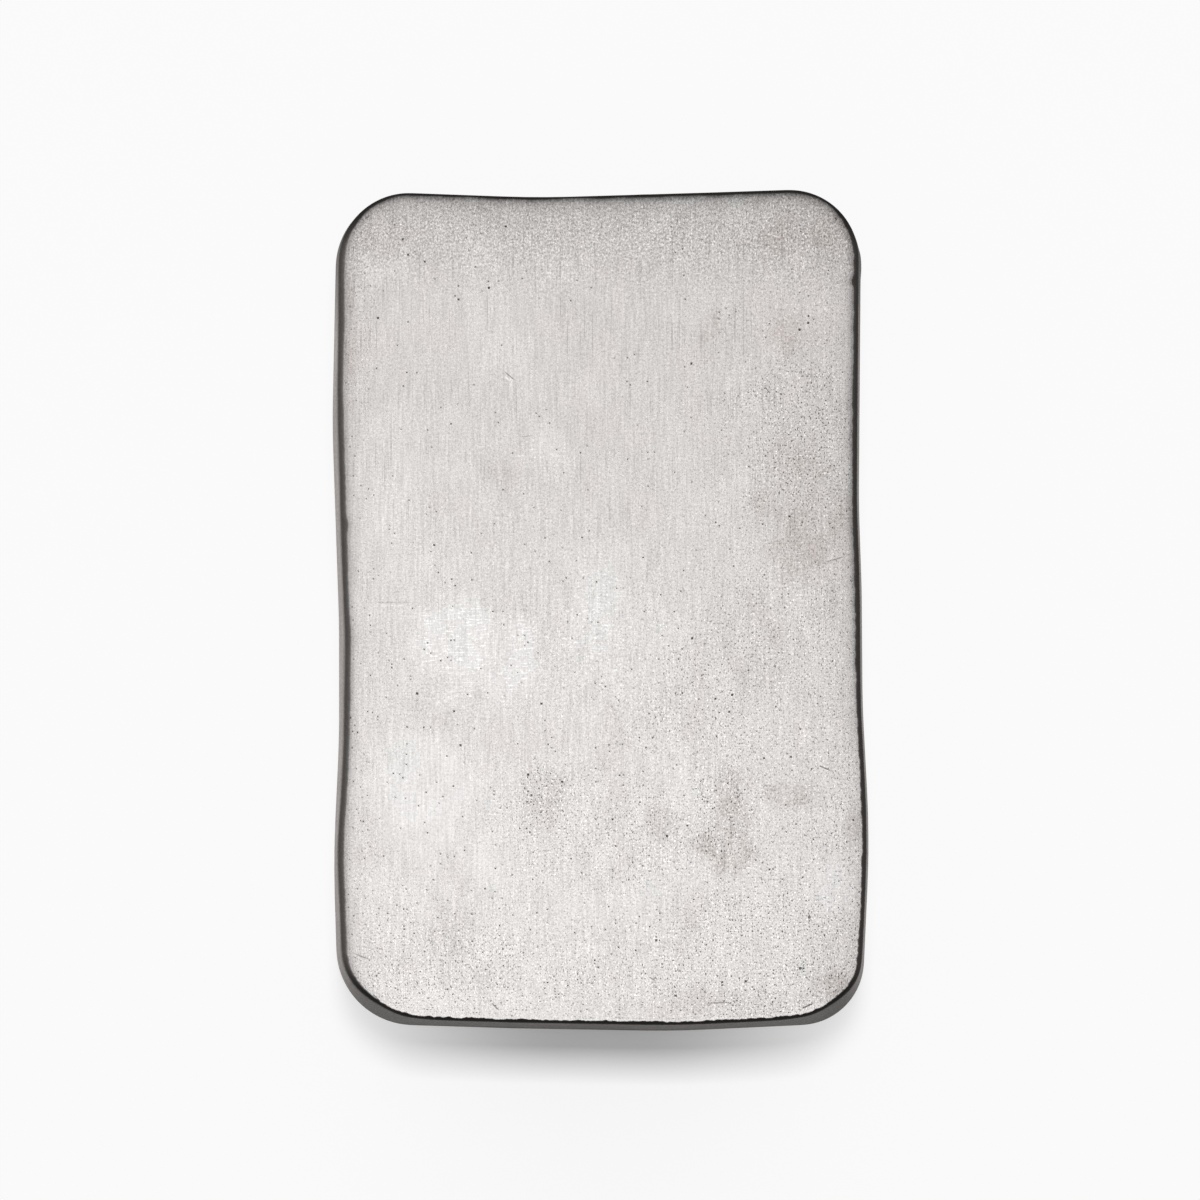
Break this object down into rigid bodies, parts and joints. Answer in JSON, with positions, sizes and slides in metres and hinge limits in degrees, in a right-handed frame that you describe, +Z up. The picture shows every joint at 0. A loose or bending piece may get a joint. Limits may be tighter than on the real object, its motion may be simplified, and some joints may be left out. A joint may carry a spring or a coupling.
{
  "type": "metal ingot",
  "caption": "Cast metal ingot: an oblong slab with rounded corners, slightly wavy drafted walls and a flat ground face.",
  "frame": {"origin": "middle of the footprint, on the surface that the ingot lies on", "axes": "+X across the ingot, +Y along its length, +Z up through its thickness, out of the ground face"},
  "size_m": [0.0638, 0.1, 0.016],
  "materials": {
    "cast_silver": "satin"
  },
  "bodies": {
    "root": {"ingot": "cast_silver"}
  },
  "joints": []
}
